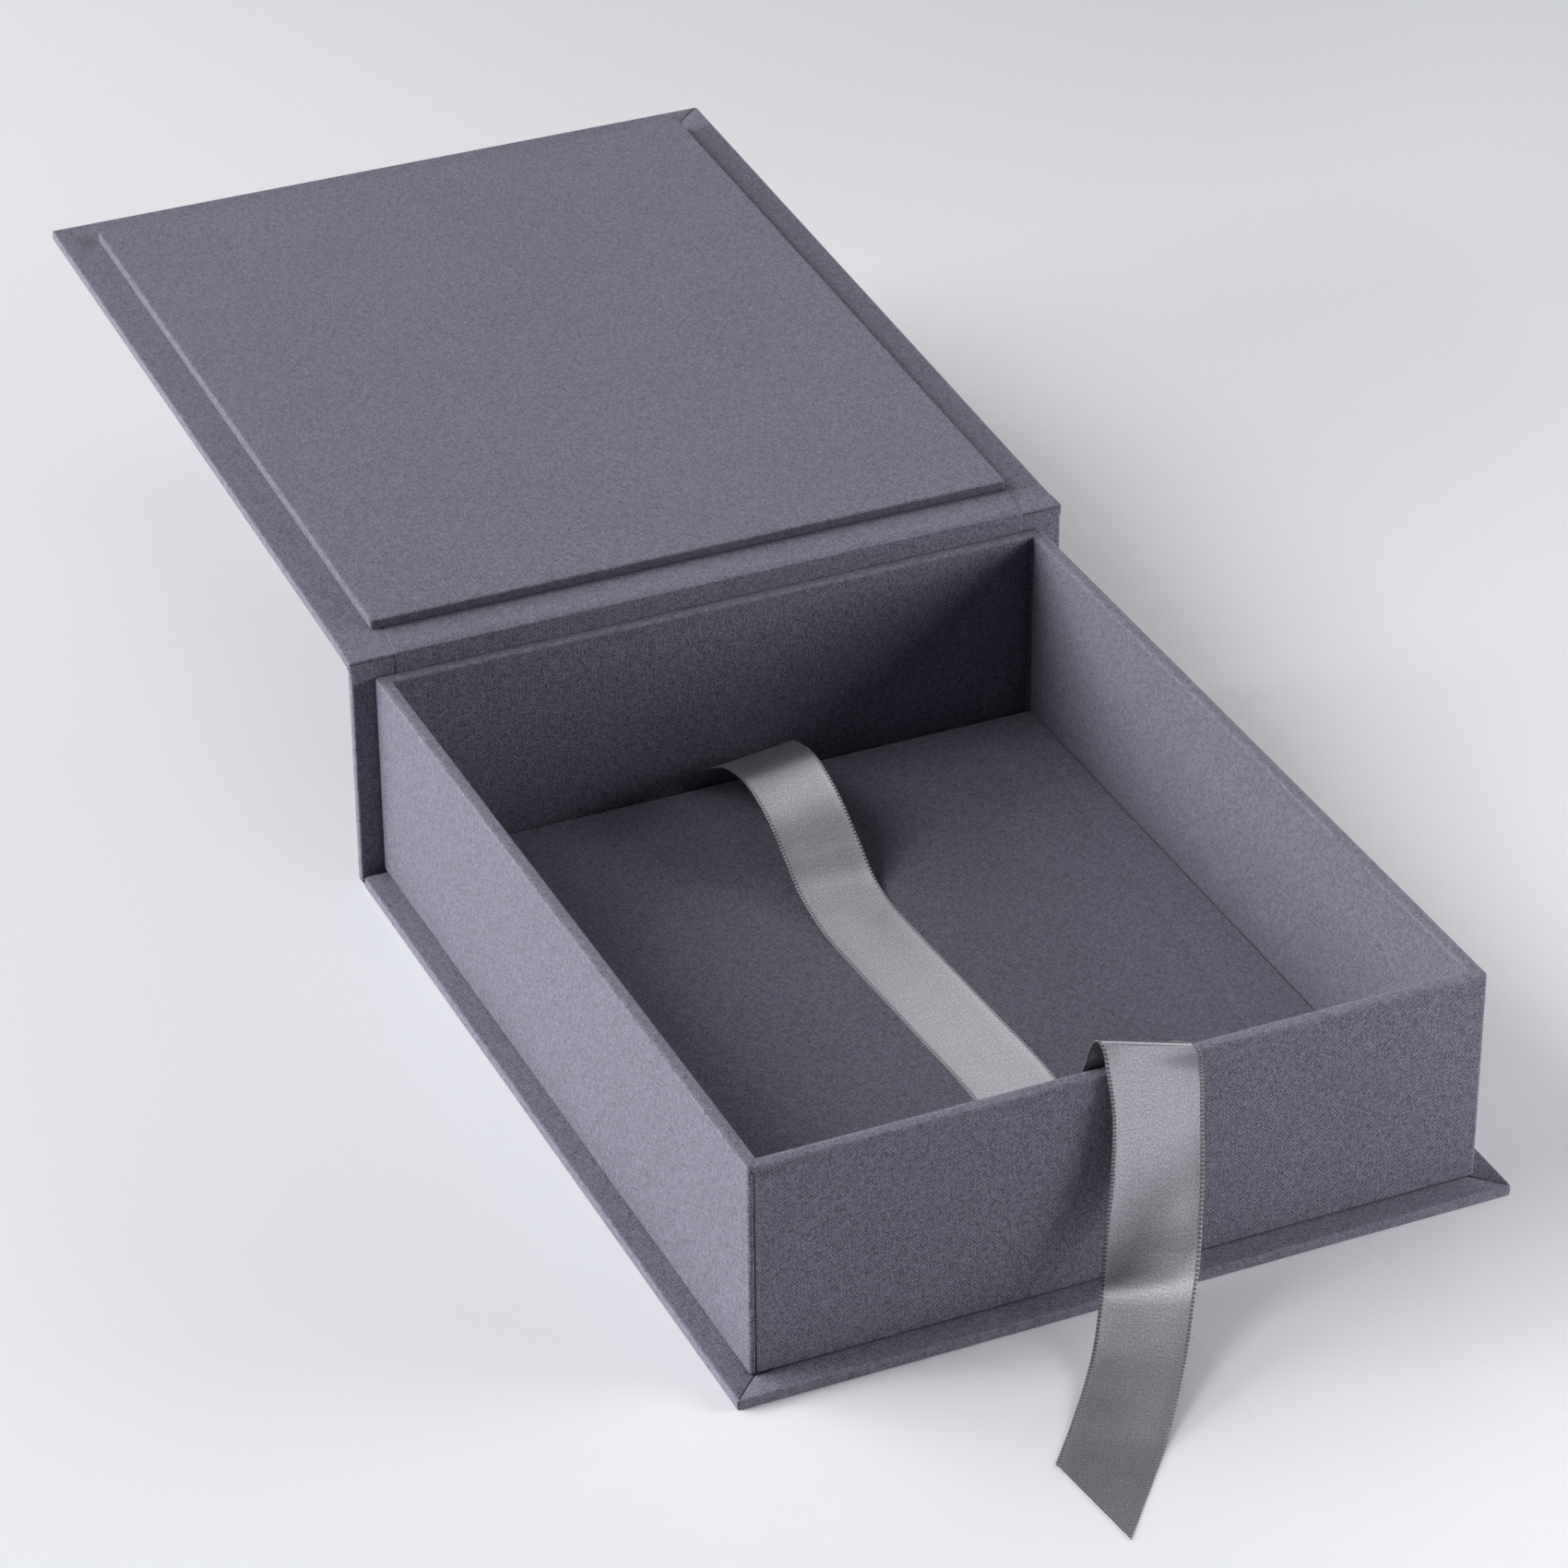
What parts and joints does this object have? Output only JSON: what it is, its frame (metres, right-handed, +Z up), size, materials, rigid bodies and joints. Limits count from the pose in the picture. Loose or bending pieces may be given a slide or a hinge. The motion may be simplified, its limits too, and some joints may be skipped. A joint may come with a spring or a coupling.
{
  "type": "presentation box with hinged lid",
  "caption": "Book-style cloth-covered presentation box: glued tray, spine, padded lid on a cloth hinge, and a ribbon that lifts the contents.",
  "frame": {"origin": "middle of the closed box's footprint, on the surface it stands on", "axes": "+X to the right, +Y from the front wall to the spine and the opened lid, +Z up"},
  "size_m": [0.228, 0.642, 0.0926],
  "materials": {
    "board": "grey bookbinding board, matte, hidden by cloth",
    "cloth": "fine ribbed book cloth, charcoal with a blue cast, matte",
    "ribbon": "single-face satin ribbon, silver grey, glossy along the weave"
  },
  "bodies": {
    "case_and_tray": {"base_board": "board", "spine_board": "board", "tray_front_board": "board", "tray_back_board": "board", "tray_left_board": "board", "tray_right_board": "board", "tray_bottom_board": "board", "floor_lining_board": "board", "base_cover_cloth": "cloth", "spine_cover_cloth": "cloth", "hinge_lining_spine": "cloth", "hinge_lining_fold": "cloth", "tray_wrap_cloth": "cloth", "floor_lining_cloth": "cloth", "ribbon_loop": "ribbon", "ribbon_run": "ribbon", "ribbon_arch": "ribbon", "ribbon_tail": "ribbon"},
    "lid": {"lid_board": "board", "lid_cover_cloth": "cloth", "hinge_joint_cloth": "cloth", "hinge_lining_lid": "cloth", "lid_pad_board": "board", "lid_pad_cloth": "cloth"}
  },
  "joints": [
    {"name": "lid_hinge", "type": "hinge", "parent": "case_and_tray", "child": "lid", "pos_m": [0, 0.1377, 0.07195], "axis": [1, 0, 0], "range_deg": [0, 176.83], "deforming": ["ribbon_arch", "hinge_lining_fold"]}
  ]
}
